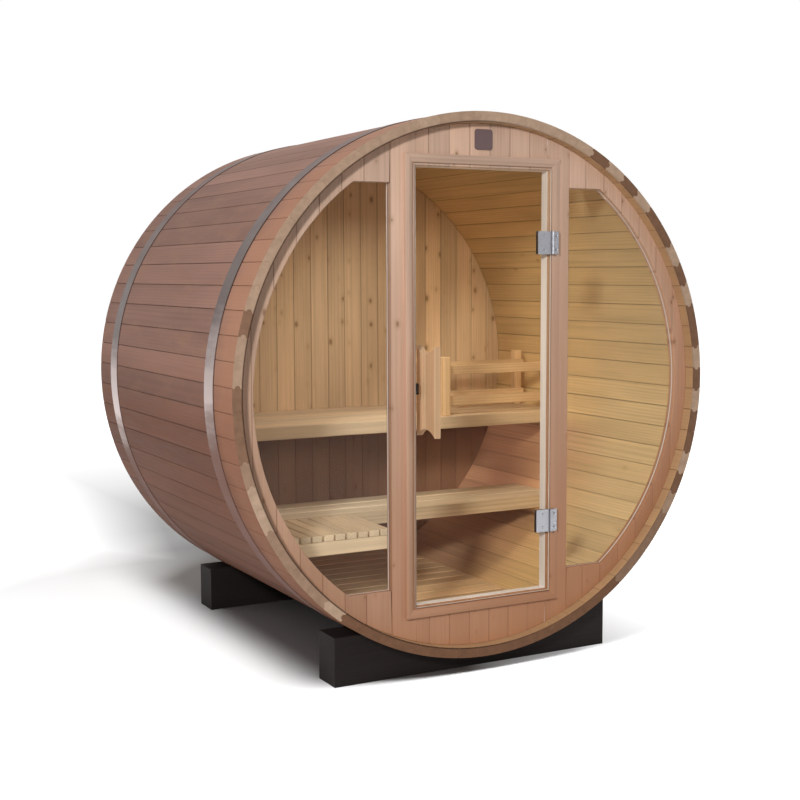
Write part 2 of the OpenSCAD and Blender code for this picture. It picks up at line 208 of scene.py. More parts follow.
class SaunaColours(PropertyGroup):
    """Colours of the finishes, as they look on a screen."""

    stave: FloatVectorProperty(
        name="Staves", description="Stain on the outside of the staves",
        subtype="COLOR_GAMMA", default=(0.625, 0.47, 0.415))
    # Painted shade: darkens the outside of the staves on the lower half of the barrel
    stave_painted_shade: FloatVectorProperty(
        name="Staves below", description="Tint of the staves on the lower half of the barrel",
        subtype="COLOR_GAMMA", default=(0.725, 0.61, 0.51))
    stave_front: FloatVectorProperty(
        name="Staves at the front", description="Staves between the front band and their ends",
        subtype="COLOR_GAMMA", default=(0.735, 0.57, 0.465))
    end_light: FloatVectorProperty(
        name="Pale stave ends", description="End grain of the pale staves",
        subtype="COLOR_GAMMA", default=(0.78, 0.66, 0.56))
    end_dark: FloatVectorProperty(
        name="Dark stave ends", description="End grain of the dark staves",
        subtype="COLOR_GAMMA", default=(0.49, 0.35, 0.26))
    inside_round: FloatVectorProperty(
        name="Inside round", description="Wood on the inside of the staves",
        subtype="COLOR_GAMMA", default=(0.855, 0.735, 0.53))
    # Painted shade on the round wall under the upper bench
    under_bench_shade: FloatVectorProperty(
        name="Round wall below", description="Tint of the round wall under the upper bench",
        subtype="COLOR_GAMMA", default=(0.88, 0.77, 0.88))
    inside: FloatVectorProperty(
        name="Inside", description="Wood of the rear wall, the bearers and the floor",
        subtype="COLOR_GAMMA", default=(0.85, 0.725, 0.575))
    # Painted shade on the rear wall under the upper bench
    rear_wall_shade: FloatVectorProperty(
        name="Inside below", description="Darker tint of the rear wall under the upper bench",
        subtype="COLOR_GAMMA", default=(0.52, 0.34, 0.26))
    wall: FloatVectorProperty(
        name="Front wall", description="Boards of the front wall, and outside the rear wall",
        subtype="COLOR_GAMMA", default=(0.845, 0.71, 0.62))
    # Warm wall colour, also used as painted shade towards the lower right of the front wall
    wall_warm_and_shade: FloatVectorProperty(
        name="Front wall below", description="Warmer boards of the front wall at the lower right",
        subtype="COLOR_GAMMA", default=(0.68, 0.51, 0.39))
    jamb: FloatVectorProperty(
        name="Jambs", description="Fresh wood in the door opening",
        subtype="COLOR_GAMMA", default=(0.97, 0.965, 1.0))
    bench: FloatVectorProperty(
        name="Benches", description="Pale wood of the upper bench, foot bench and fascias",
        subtype="COLOR_GAMMA", default=(0.88, 0.79, 0.665))
    lower_bench: FloatVectorProperty(
        name="Lower bench", description="Paler wood of the lower bench's slats",
        subtype="COLOR_GAMMA", default=(0.935, 0.865, 0.755))
    guard: FloatVectorProperty(
        name="Guard", description="Wood of the guard on the upper bench",
        subtype="COLOR_GAMMA", default=(0.855, 0.725, 0.56))
    handle: FloatVectorProperty(
        name="Outer handle", description="Wood of the door's handle on the outside",
        subtype="COLOR_GAMMA", default=(0.84, 0.68, 0.525))
    inner_handle: FloatVectorProperty(
        name="Inner handle", description="Wood of the door's handle on the inside",
        subtype="COLOR_GAMMA", default=(0.88, 0.77, 0.68))
    cradle: FloatVectorProperty(
        name="Cradles", description="Stain on the cradle beams",
        subtype="COLOR_GAMMA", default=(0.12, 0.10, 0.095))
    steel: FloatVectorProperty(
        name="Bands", description="Steel of the bands",
        subtype="COLOR_GAMMA", default=(0.67, 0.60, 0.58))
    # Painted dark reflection on the bands away from half their height
    band_dark_reflection: FloatVectorProperty(
        name="Tarnish", description="Steel bands where they have dulled",
        subtype="COLOR_GAMMA", default=(0.34, 0.265, 0.24))
    # Painted brown reflection on the lower part of the bands
    band_brown_reflection: FloatVectorProperty(
        name="Grime", description="Stain on the lower part of the bands",
        subtype="COLOR_GAMMA", default=(0.455, 0.31, 0.26))
    hinge: FloatVectorProperty(
        name="Hinges", description="Steel of the hinges",
        subtype="COLOR_GAMMA", default=(0.62, 0.62, 0.64))
    catch: FloatVectorProperty(
        name="Catch", description="Black metal of the door's catch",
        subtype="COLOR_GAMMA", default=(0.10, 0.085, 0.085))
    plate: FloatVectorProperty(
        name="Bare plate", description="Dark metal of the bare plate",
        subtype="COLOR_GAMMA", default=(0.42, 0.34, 0.34))


class SaunaStage(PropertyGroup):
    """Camera, lamps and sky."""

    camera_place: FloatVectorProperty(
        name="Camera", description="Place of the camera", subtype="XYZ", unit="LENGTH",
        default=(-2.7001, -5.1061, 1.5520))
    camera_turn: FloatProperty(
        name="Turn", description="Angle of the view from the barrel's axis",
        unit="ROTATION", default=math.radians(28.269))
    camera_tilt: FloatProperty(
        name="Tilt", description="Angle of the view below the horizon",
        unit="ROTATION", default=math.radians(5.4624))
    camera_roll: FloatProperty(
        name="Roll", description="Turn of the camera about its own view",
        unit="ROTATION", default=math.radians(-0.2178))
    camera_lens: FloatProperty(
        name="Lens", description="Focal length on a sensor 36 mm wide",
        unit="CAMERA", default=59.5)
    key_power: FloatProperty(
        name="Key lamp", description="Power of the lamp at the left", unit="POWER",
        default=290.0)
    fill_power: FloatProperty(
        name="Fill lamp", description="Power of the lamp at the right", unit="POWER",
        default=40.0)
    back_power: FloatProperty(
        name="Back lamp", description="Power of the lamp behind the barrel", unit="POWER",
        default=260.0)
    bench_power: FloatProperty(
        name="Bench lamp", description="Power of the weak lamp between the benches", unit="POWER",
        default=0.55)
    floor_power: FloatProperty(
        name="Floor lamp", description="Power of the lamp that lights the floor alone",
        unit="POWER", default=1450.0)
    inside_power: FloatProperty(
        name="Inside lamp",
        description="Power of the lamp for the benches and the rear wall alone",
        unit="POWER", default=95.0)
    room_power: FloatProperty(
        name="Room lamp", description="Power of the lamp under the top of the barrel",
        unit="POWER", default=5.0)
    sky: FloatProperty(
        name="Sky", description="Strength of the even light from all round", default=0.36)


# Mesh helpers

def node_mesh(node):
    """A node's solids with their triangles merged and their flat faces joined."""
    bm = bmesh.new()
    bm.from_mesh(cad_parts[node].data)
    bmesh.ops.remove_doubles(bm, verts=bm.verts, dist=MERGE_WITHIN)
    bmesh.ops.dissolve_limit(bm, angle_limit=FLAT_WITHIN, verts=bm.verts, edges=bm.edges)
    return bm


def ease(bm, width, segments=2, least=30.0, keep=None):
    """Rounds the edges where two faces meet at more than the least angle, in degrees."""
    sharp = [
        e for e in bm.edges
        if len(e.link_faces) == 2 and e.calc_face_angle(0.0) > math.radians(least)
        and (keep is None or keep(e))
    ]
    bmesh.ops.bevel(
        bm, geom=sharp, offset=width, offset_type="OFFSET", affect="EDGES",
        segments=segments, profile=0.5, material=-1, clamp_overlap=True)


def islands(bm):
    """The faces of each loose solid, in the order of the solids' middles."""
    left, groups = set(bm.faces), []
    for face in bm.faces:
        if face not in left:
            continue
        left.discard(face)
        group, reached = [face], [face]
        while reached:
            for edge in reached.pop().edges:
                for near in edge.link_faces:
                    if near in left:
                        left.discard(near)
                        group.append(near)
                        reached.append(near)
        groups.append(group)
    placed = [(middle(group), group) for group in groups]
    return sorted(placed, key=lambda pair: [round(c, 4) for c in pair[0]])


def middle(faces):
    """Middle of the box round some faces."""
    places = [v.co for f in faces for v in f.verts]
    low = Vector(min(p[i] for p in places) for i in range(3))
    high = Vector(max(p[i] for p in places) for i in range(3))
    return (low + high) / 2


def join(whole, part):
    """Adds a mesh to another and frees it."""
    mesh = bpy.data.meshes.new("joined")
    part.to_mesh(mesh)
    part.free()
    whole.from_mesh(mesh)
    bpy.data.meshes.remove(mesh)


def cut_off(bm, place, outward):
    """Cuts away what lies past a plane and closes the cut."""
    cut = bmesh.ops.bisect_plane(
        bm, geom=bm.verts[:] + bm.edges[:] + bm.faces[:], dist=MERGE_WITHIN,
        plane_co=place, plane_no=outward, clear_outer=True)
    rim = [g for g in cut["geom_cut"] if isinstance(g, bmesh.types.BMEdge)]
    bmesh.ops.holes_fill(bm, edges=[e for e in rim if e.is_boundary], sides=0)


def draw_out(bm, face, way):
    """Draws one face out into a solid."""
    drawn = bmesh.ops.extrude_face_region(bm, geom=[face])["geom"]
    verts = [g for g in drawn if isinstance(g, bmesh.types.BMVert)]
    bmesh.ops.translate(bm, vec=way, verts=verts)
    bmesh.ops.recalc_face_normals(bm, faces=bm.faces)


def turn_mesh(bm, angle, centre=(0.0, 0.0, 0.0)):
    """Turns a mesh about an axis that runs from front to rear."""
    bmesh.ops.rotate(bm, cent=centre, matrix=Matrix.Rotation(angle, 3, "Y"), verts=bm.verts)


def box_mesh(low, high):
    """A box between two corners."""
    bm = bmesh.new()
    size = Vector(high) - Vector(low)
    place = Matrix.Translation((Vector(low) + Vector(high)) / 2) @ Matrix.Diagonal((*size, 1.0))
    bmesh.ops.create_cube(bm, size=1.0, matrix=place)
    return bm


def mark_boards(bm, name, tone=None):
    """Gives every loose board a number, its middle, half its width and the tone of its ends."""
    number = bm.faces.layers.float.new("board")
    centre = bm.faces.layers.float_vector.new("middle")
    shade = bm.faces.layers.float.new("tone")
    extent = bm.faces.layers.float.new("reach")
    draw = random.Random(name)
    for where, faces in islands(bm):
        own = draw.random()
        look = tone(where) if tone else draw.random()
        reach = max(v.co.x for f in faces for v in f.verts) - where.x
        for face in faces:
            face[number] = own
            face[centre] = where
            face[shade] = look
            face[extent] = reach


def place_piece(name, bm, materials, body, nodes, choose=None):
    """Makes an object of a mesh, dresses it and sets it in the place of its nodes."""
    for face in bm.faces:
        face.smooth = True
        if choose:
            face.material_index = choose(face)
    mesh = bpy.data.meshes.new(name)
    bm.to_mesh(mesh)
    bm.free()
    mesh.set_sharp_from_angle(angle=SHARP_FROM)
    for material in materials:
        mesh.materials.append(material)
    piece = bpy.data.objects.new(name, mesh)
    bpy.context.scene.collection.objects.link(piece)
    even = piece.modifiers.new("even_normals", "WEIGHTED_NORMAL")
    even.keep_sharp = True
    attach(piece, body)
    if nodes:
        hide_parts(*nodes)


# Material helpers

class Wiring:
    """Nodes that are linked as they are made."""

    def __init__(self, tree):
        self.nodes = tree.nodes
        self.links = tree.links

    def add(self, kind, inputs=None, **settings):
        """A new node with its settings made and its inputs set or linked."""
        node = self.nodes.new(kind)
        for key, value in settings.items():
            setattr(node, key, value)
        for key, value in (inputs or {}).items():
            self.put(node.inputs[key], value)
        return node

    def put(self, socket, value):
        """Links a socket to another one, or sets its value."""
        if isinstance(value, bpy.types.NodeSocket):
            self.links.new(value, socket)
        else:
            socket.default_value = value

    def show(self, output, shader):
        """Links a shader to the output."""
        self.links.new(shader.outputs[0], self.nodes[output].inputs["Surface"])

    def math(self, operation, first, second=0.0):
        return self.add("ShaderNodeMath", {0: first, 1: second}, operation=operation).outputs[0]

    def plus(self, first, second):
        return self.math("ADD", first, second)

    def minus(self, first, second):
        return self.math("SUBTRACT", first, second)

    def times(self, first, second):
        return self.math("MULTIPLY", first, second)

    def larger(self, first, second):
        return self.math("MAXIMUM", first, second)

    def smaller(self, first, second):
        return self.math("MINIMUM", first, second)

    def apart(self, first, second):
        """How far two values are apart."""
        return self.math("ABSOLUTE", self.minus(first, second))

    def vector(self, operation, first, second):
        node = self.add("ShaderNodeVectorMath", {0: first, 1: second}, operation=operation)
        return node.outputs[0]

    def far_from(self, place, point):
        """Distance of a place from a point."""
        node = self.add("ShaderNodeVectorMath", {0: place, 1: point}, operation="DISTANCE")
        return node.outputs["Value"]

    def parts(self, vector):
        """The x, y and z of a vector."""
        return self.add("ShaderNodeSeparateXYZ", {0: vector}).outputs

    def joined(self, x, y, z=0.0):
        """A vector from its x, y and z."""
        return self.add("ShaderNodeCombineXYZ", {0: x, 1: y, 2: z}).outputs[0]

    def attribute(self, name, output="Fac"):
        return self.add("ShaderNodeAttribute", attribute_name=name).outputs[output]

    def noise(self, place, scale, detail=2.0, roughness=0.5):
        """Noise at one scale, or at one for each axis."""
        if isinstance(scale, tuple):
            place, scale = self.vector("MULTIPLY", place, scale), 1.0
        node = self.add("ShaderNodeTexNoise", {
            "Vector": place, "Scale": scale, "Detail": detail, "Roughness": roughness})
        return node.outputs["Fac"]

    def spread(self, value, low, high, to_low=0.0, to_high=1.0):
        """A value between two limits, spread between two others."""
        node = self.add("ShaderNodeMapRange", {
            "Value": value, "From Min": low, "From Max": high,
            "To Min": to_low, "To Max": to_high})
        return node.outputs[0]

    def mix(self, share, first, second, blend="MIX"):
        """Two colours in one, by the share of the second."""
        node = self.add("ShaderNodeMix", {0: share, 6: first, 7: second},
                        data_type="RGBA", blend_type=blend)
        return node.outputs[2]

    def tint(self, colour, value):
        """A colour times a grey value."""
        grey = self.add("ShaderNodeCombineColor", {0: value, 1: value, 2: value}).outputs[0]
        return self.mix(1.0, colour, grey, "MULTIPLY")

    def seen(self):
        """1 for what is seen straight on, mirrored or through glass, and 0 for other light."""
        path = self.add("ShaderNodeLightPath").outputs
        mirrored = self.larger(path["Is Glossy Ray"], path["Is Transmission Ray"])
        return self.larger(path["Is Camera Ray"], mirrored)


class Finish(Wiring):
    """A material with its shader."""

    def __init__(self, name):
        self.material = bpy.data.materials.new(name)
        self.material.use_nodes = True
        super().__init__(self.material.node_tree)
        self.shader = self.nodes["Principled BSDF"]
        self.place = self.add("ShaderNodeTexCoord").outputs["Object"]

    def set(self, **inputs):
        """Sets or links the shader's sockets, which are named with _ for a space."""
        for key, value in inputs.items():
            self.put(self.shader.inputs[key.replace("_", " ")], value)

    def bump(self, height, strength, depth):
        node = self.add("ShaderNodeBump", {
            "Height": height, "Strength": strength, "Distance": depth})
        self.set(Normal=node.outputs["Normal"])


def colour(gamma, value=1.0, warm=0.0):
    """A screen colour as a socket takes it, made darker or lighter, and warmer or cooler."""
    plain = Color(gamma).from_srgb_to_scene_linear()
    return (plain.r * value * (1 + warm), plain.g * value, plain.b * value * (1 - warm), 1.0)


def dimmed(tint, value):
    """A tint as a socket takes it, times a grey value."""
    return (*(value * part for part in tint), 1.0)


def along(way, run, across):
    """A scale for each axis that is different along one of them."""
    return tuple(run if axis == way else across for axis in AXES)


def beside_joint(f, staves):
    """1 in the joints of a wall's upright boards or of the staves, and 0 away from them.

    Low down on the barrel the staves' joints are cleaner.
    """
    x, _, z = f.parts(f.place)
    if staves:
        pitch = 2 * math.pi / staves
        angle = f.math("ARCTAN2", x, f.minus(z, AXIS_Z))
        off = f.math("PINGPONG", f.math("DIVIDE", angle, pitch), 0.5)
        near = f.times(f.minus(0.5, off), pitch * OUTER_R)
    else:
        centre = f.parts(f.attribute("middle", "Vector"))
        near = f.minus(f.attribute("reach"), f.apart(x, centre[0]))
    dirt = f.spread(near, *SEAM_FADES, 1.0, 0.0)
    if staves:
        dirt = f.times(dirt, f.spread(z, AXIS_Z - 0.5, AXIS_Z - 0.05, 0.4, 1.0))
    return dirt


def knot_marks(f, place, grain, knots, radius, flat):
    """1 in the knots, and 1 in the warmer wood round them."""
    cells = f.vector("MULTIPLY", place, along(grain, knots * 0.62, knots))
    if flat:
        across = [part for part, axis in zip(f.parts(cells), AXES) if axis != flat]
        cells = f.joined(*across)
    flecks = f.add("ShaderNodeTexVoronoi", {"Vector": cells, "Scale": 1.0},
                   voronoi_dimensions="2D" if flat else "3D").outputs
    chance = f.add("ShaderNodeSeparateColor", {0: flecks["Color"]}).outputs[0]
    core = radius * knots
    edge = f.spread(f.noise(place, 60.0, 1.0), 0.0, 1.0, -0.3 * core, 0.3 * core)
    size = f.spread(chance, 0.25, 1.0, -2.0 * core, 0.5 * core)
    away = f.minus(f.plus(flecks["Distance"], edge), size)
    knot = f.spread(away, 0.5 * core, 1.4 * core, 1.0, 0.0)
    halo = f.spread(away, core, 3.5 * core, 1.0, 0.0)
    return knot, halo


def wood(name, grain, light, knots, contrast, spread=0.16, rough=0.58, flat=None,
         knot_radius=0.005, seam=0.0, staves=0):
    """Planed softwood with rings, fibres, knots and a tone of its own in every board.

    Knots is how many cells to a metre may hold one. A wall's knots run straight through it along
    the flat axis. The seam is the share of dirt in the joints. The finish keeps its colour as wood
    and its boards' numbers as board.
    """
    f = Finish(name)
    f.board = f.attribute("board")
    second = f.math("FRACT", f.times(f.board, 17.31))
    third = f.math("FRACT", f.times(f.board, 41.7))
    local = f.vector("SUBTRACT", f.place, f.attribute("middle", "Vector"))
    pith = f.joined(f.spread(f.board, 0.0, 1.0, -0.07, 0.09),
                    f.spread(second, 0.0, 1.0, -0.09, 0.07),
                    f.spread(third, 0.0, 1.0, -0.08, 0.08))
    heart = f.vector("ADD", local, pith)
    rings = f.add("ShaderNodeTexWave", {
        "Vector": f.vector("MULTIPLY", heart, along(grain, 0.06, 1.0)),
        "Scale": 27.0, "Distortion": 5.0, "Detail": 2.0, "Detail Scale": 0.35,
        "Detail Roughness": 0.55}, wave_type="RINGS", rings_direction=grain).outputs["Fac"]
    late = f.spread(rings, 0.35, 0.95)
    shift = f.joined(f.times(f.board, 3.1), f.times(second, 5.3), f.times(f.board, 7.7))
    shifted = f.vector("ADD", f.place, shift)
    fibre = f.noise(shifted, along(grain, 4.0, 230.0), 3.0, 0.6)
    broad = f.noise(shifted, along(grain, 1.2, 9.0))
    knot, halo = knot_marks(f, shifted, grain, knots, knot_radius, flat)

    tone = f.spread(f.board, 0.0, 1.0, 1 - spread, 1 + spread * 0.8)
    grained = f.mix(f.times(late, contrast), colour(light, 1.05), colour(light, 0.66, 0.05))
    warmed = f.mix(f.times(second, 0.5), grained, colour(light, 0.88, 0.06))
    toned = f.tint(warmed, f.times(tone, f.spread(broad, 0.25, 0.75, 0.84, 1.14)))
    fibrous = f.tint(toned, f.spread(fibre, 0.25, 0.75, 0.90, 1.08))
    haloed = f.mix(f.times(halo, 0.35), fibrous, colour(light, 0.55, 0.16))
    f.wood = f.mix(f.times(knot, 0.8), haloed, colour(light, 0.31, 0.25))
    if seam:
        dirt = f.times(beside_joint(f, staves), seam)
        f.wood = f.mix(dirt, f.wood, colour(light, 0.2, 0.2))
    f.set(Base_Color=f.wood, Roughness=f.spread(fibre, 0.2, 0.8, rough - 0.09, rough + 0.1),
          Specular_IOR_Level=0.32)
    f.bump(f.plus(f.times(fibre, 0.7), f.times(late, -0.3)), 0.22, 0.0012)
    return f


def stave_outside(colours, count):
    """Stain that is fresher at the front end, with painted shade on the lower half and a painted
    shadow line beside the bands.
    """
    f = wood("stave_stain", "Y", colours.stave, knots=5.0, contrast=0.3, spread=0.2, rough=0.62,
             seam=0.6, staves=count)
    _, depth, height = f.parts(f.place)
    wander = f.noise(f.place, (7.0, 3.0, 7.0))
    reach = f.plus(depth, f.spread(wander, 0.3, 0.7, -0.05, 0.05))
    fresh = f.spread(f.minus(reach, FRONT_END), *FRESH_FADES, 1.0, 0.0)
    lighter = f.mix(f.times(f.board, 0.3), colour(colours.stave_front, 1.1),
                    colour(colours.stave_front, 0.8, 0.06))
    streaked = f.mix(0.5, lighter, f.wood, "SOFT_LIGHT")
    blotch = f.noise(f.place, (16.0, 4.5, 16.0), 3.0, 0.6)
    golden = f.mix(f.spread(blotch, 0.48, 0.72, 0.0, 0.45), f.wood,
                   colour(colours.stave_front, 0.72, 0.05))
    # Painted shade: the lower half of the barrel is tinted darker
    low = f.spread(height, AXIS_Z - LOW_FADE, AXIS_Z + LOW_FADE, 1.0, 0.0)
    shaded_below = f.mix(low, golden, colour(colours.stave_painted_shade), "MULTIPLY")
    faded = f.mix(f.times(low, 0.5), streaked, colour(colours.stave_painted_shade), "MULTIPLY")
    stained = f.mix(f.times(fresh, 0.72), shaded_below, faded)
    # Painted shadow: a thin dark line in front of each band
    for node in BAND_NODES:
        near = f.apart(depth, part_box(node)[0].y - BAND_SHADE)
        shaded = f.spread(near, BAND_SHADE, 2 * BAND_SHADE, 0.75, 0.0)
        stained = f.mix(shaded, stained, colour(colours.stave, 0.12))
    f.set(Base_Color=stained, Specular_IOR_Level=0.16)
    return f.material


def stave_inside(colours, count):
    """Natural wood, warmer outside the end walls, with painted shade under the upper bench."""
    f = wood("stave_natural", "Y", colours.inside_round, knots=8.5, contrast=0.36, spread=0.14,
             seam=0.5, staves=count)
    _, depth, height = f.parts(f.place)
    reveal = f.plus(f.spread(depth, REVEAL_END, REVEAL_END + REVEAL_FADE, 1.0, 0.0),
                    f.spread(depth, REVEAL_START - REVEAL_FADE, REVEAL_START))
    rim = f.mix(0.35, colour(colours.wall_warm_and_shade), f.wood)
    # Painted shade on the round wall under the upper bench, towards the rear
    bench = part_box("upper_bench_slats")[0]
    under = f.times(f.spread(height, bench.z - 0.06, bench.z, 0.7, 0.0),
                    f.spread(depth, bench.y - 0.45, bench.y))
    shade = f.mix(1.0, f.wood, colour(colours.under_bench_shade), "MULTIPLY")
    f.set(Base_Color=f.mix(reveal, f.mix(under, f.wood, shade), rim))
    return f.material


def stave_ends(colours, inner):
    """Sawn end grain, pale or dark by the stave's tone, with a painted shadow along its inner
    edge, mostly at the left.
    """
    f = Finish("stave_end_grain")
    aside = f.spread(f.attribute("board"), 0.0, 1.0, -0.09, 0.09)
    local = f.vector("SUBTRACT", f.place, f.attribute("middle", "Vector"))
    rings = f.add("ShaderNodeTexWave", {
        "Vector": f.vector("ADD", local, f.joined(aside, 0.0, 0.05)),
        "Scale": 90.0, "Distortion": 1.6, "Detail": 2.0, "Detail Scale": 0.6},
        wave_type="RINGS", rings_direction="Y").outputs["Fac"]
    pores = f.noise(f.place, 900.0)
    blotch = f.noise(f.place, 38.0)
    base = f.mix(f.attribute("tone"), colour(colours.end_dark), colour(colours.end_light))
    ringed = f.tint(base, f.spread(rings, 0.2, 0.9, 1.05, 0.84))
    pored = f.tint(ringed, f.spread(pores, 0.25, 0.75, 0.86, 1.10))
    sawn = f.tint(pored, f.spread(blotch, 0.25, 0.75, 0.86, 1.12))
    # Painted shadow: the inner edge of the ends is darkened, most of all at the left
    radius = f.far_from(f.vector("MULTIPLY", f.place, (1.0, 0.0, 1.0)), MIDDLE)
    rim_shadow = f.times(f.spread(radius, inner + 0.003, inner + 0.007, 0.9, 0.0),
                    f.spread(f.parts(f.place)[0], -0.1, 0.3, 1.0, 0.2))
    f.set(Base_Color=f.mix(rim_shadow, sawn, colour(colours.end_dark, 0.2, 0.1)),
          Roughness=f.spread(pores, 0.2, 0.8, 0.66, 0.85), Specular_IOR_Level=0.22)
    f.bump(pores, 0.25, 0.0008)
    return f.material


def brushed(name, gamma, across, rough, metal=1.0):
    """Brushed metal with fine lines that run across an axis, and faint stains.

    The finish keeps its colour as metal and its roughness as rough.
    """
    f = Finish(name)
    lines = f.noise(f.place, along(across, 900.0, 6.0), 3.0, 0.7)
    stains = f.noise(f.place, 9.0, 3.0)
    f.metal = f.tint(f.mix(stains, colour(gamma, 0.92), colour(gamma, 1.05)),
                     f.spread(lines, 0.25, 0.75, 0.88, 1.08))
    f.rough = f.plus(f.spread(lines, 0.2, 0.8, rough - 0.06, rough + 0.08),
                     f.spread(stains, 0.3, 0.7, -0.04, 0.05))
    f.set(Base_Color=f.metal, Metallic=metal, Roughness=f.rough)
    f.bump(lines, 0.12, 0.0004)
    return f


def band_steel(colours):
    """Brushed steel with painted reflection: bright round half its height, painted dark away from
    it, and painted brown and less metallic low down.
    """
    f = brushed("band_steel", colours.steel, "Y", rough=0.3)
    _, depth, level = f.parts(f.place)
    patches = f.noise(f.place, (5.0, 2.0, 11.0), 3.0, 0.6)
    wander = f.plus(f.spread(patches, 0.3, 0.7, -0.07, 0.07),
                    f.spread(depth, FRONT_END, REAR_END, -0.02, 0.16))
    height = f.plus(level, wander)
    # Painted reflection: the metal is painted dark away from half its height, and painted brown,
    # rougher and less metallic low down and partly at the top
    away = f.apart(height, AXIS_Z + 0.04)
    painted_dull = f.mix(f.spread(away, 0.07, 0.27), f.metal, colour(colours.band_dark_reflection))
    painted_shine = f.smaller(f.spread(height, AXIS_Z - 0.26, AXIS_Z - 0.04),
                      f.spread(height, AXIS_Z + 0.55, AXIS_Z + 0.9, 1.0, 0.6))
    f.set(Base_Color=f.mix(painted_shine, colour(colours.band_brown_reflection), painted_dull), Metallic=painted_shine,
          Roughness=f.plus(f.rough, f.spread(painted_shine, 0.0, 1.0, 0.4, 0.0)))
    return f.material


def hinge_steel(colours):
    """Brushed steel with a fine mottle."""
    f = brushed("hinge_steel", colours.hinge, "X", rough=0.36)
    mottle = f.noise(f.place, 240.0, 2.0, 0.6)
    f.set(Base_Color=f.tint(f.metal, f.spread(mottle, 0.35, 0.65, 0.62, 1.22)))
    return f.material


def pane_finishes(name, bend, tint):
    """Clear glass that lets lamps through, its pale polished edge and its edge in the shade."""
    clear = Finish(name + "_glass")
    wipes = clear.noise(clear.place, (5.0, 5.0, 2.0), 3.0)
    clear.set(Base_Color=clear.mix(wipes, dimmed(tint, 0.96), dimmed(tint, 1.0)),
              Roughness=0.0, Transmission_Weight=1.0, IOR=bend)
    path = clear.add("ShaderNodeLightPath").outputs
    lit = clear.larger(path["Is Shadow Ray"], path["Is Diffuse Ray"])
    through = clear.add("ShaderNodeBsdfTransparent", {"Color": dimmed(tint, 0.97)}).outputs[0]
    clear.show("Material Output", clear.add(
        "ShaderNodeMixShader", {0: lit, 1: clear.shader.outputs[0], 2: through}))

    finishes = [clear.material]
    for label, dull, bright in PANE_EDGES:
        edge = Finish(name + label)
        frost = edge.noise(edge.place, 420.0)
        edge.set(Base_Color=edge.mix(frost, dull, bright),
                 Roughness=edge.spread(frost, 0.2, 0.8, 0.22, 0.42))
        edge.bump(frost, 0.1, 0.0003)
        finishes.append(edge.material)
    return finishes


# Pieces

def turned(radius, angle, y=0.0):
    """A point on the barrel, at an angle clockwise from the top as seen from the front."""
    return Vector((radius * math.sin(angle), y, AXIS_Z + radius * math.cos(angle)))


def angle_of(place):
    """Angle of a point clockwise from the top as seen from the front."""
    return math.atan2(place.x, place.z - AXIS_Z)


def radius_of(place):
    """Distance of a point from the barrel's axis."""
    return math.hypot(place.x, place.z - AXIS_Z)


def arc(bm, start, centre, angle, steps):
    """A run of edges turned from a start round a centre, and its two ends."""
    first = bm.verts.new(start)
    spun = bmesh.ops.spin(
        bm, geom=[first], cent=centre, axis=(0, 1, 0), angle=angle, steps=steps,
        use_duplicate=False)
    last = [g for g in spun["geom_last"] if isinstance(g, bmesh.types.BMVert)][0]
    return first, last


def stave_blank(sizes):
    """One stave at the top of the barrel, with its bead and its cove."""
    bm = bmesh.new()
    half = math.pi / sizes.stave_count
    inner = OUTER_R - sizes.stave_thickness
    mid = OUTER_R - sizes.stave_thickness / 2
    side = half - sizes.joint_gap / 2 / mid
    axis = (0, FRONT_END, AXIS_Z)
    bead_up = turned(1.0, half) - turned(0.0, 0.0)
    cove_up = turned(1.0, -half) - turned(0.0, 0.0)
    bead_mid = turned(mid, half, FRONT_END)
    cove_mid = turned(mid, -half, FRONT_END)
    cove_r = sizes.bead_radius + sizes.joint_gap
    runs = [
        arc(bm, turned(OUTER_R, -side, FRONT_END), axis, 2 * side, OUTSIDE_STEPS),
        arc(bm, bead_mid + bead_up * sizes.bead_radius, bead_mid, math.pi, BEAD_STEPS),
        arc(bm, turned(inner, side, FRONT_END), axis, -2 * side, INSIDE_STEPS),
        arc(bm, cove_mid - cove_up * cove_r, cove_mid, -math.pi, BEAD_STEPS),
    ]
    for i, run in enumerate(runs):
        bm.edges.new((run[1], runs[(i + 1) % len(runs)][0]))
    section = bmesh.ops.contextual_create(bm, geom=bm.edges[:])["faces"][0]
    draw_out(bm, section, (0, REAR_END - FRONT_END, 0))

    def joint_edge(edge):
        a, b = edge.verts
        long = abs(a.co.y - b.co.y) > (REAR_END - FRONT_END) / 2
        return long and min(abs(radius_of(a.co) - r) for r in (OUTER_R, inner)) < LEVEL_WITHIN

    ease(bm, sizes.stave_ease, least=45, keep=joint_edge)
    return bm


def end_tone(index, count):
    """Tone of a sawn end, dark 0 to pale 1, by the stave's number clockwise from the top."""
    # The bottom is dark, as painted shade near the cradles
    if abs(index) > count * 0.4:
        return 0.0
    # The right is dark with pale ones between
    if 5 < index < count / 3:
        return 0.95 if index % 5 in (2, 4) else 0.05
    # The lower right is duller
    if index >= count / 3:
        return 0.7 if index % 6 == 0 else 0.3
    # The lower left is mixed, and the left above it darker
    if index < -count * 0.28:
        return 0.95 if index % 6 in (1, 2) else 0.5
    if index < -count / 5:
        return 0.7 if index % 6 in (1, 2) else 0.15
    # The top is pale
    return 0.9 if index >= 0 or index == -3 else 0.72


def stave_side(face):
    """0 on the outside of a stave, 1 on its inside and its joints, and 2 on its ends."""
    if abs(face.normal.y) > 0.7:
        return 2
    where = face.calc_center_median()
    out = (where - Vector((0, where.y, AXIS_Z))).normalized()
    return 0 if face.normal.dot(out) > 0.4 else 1


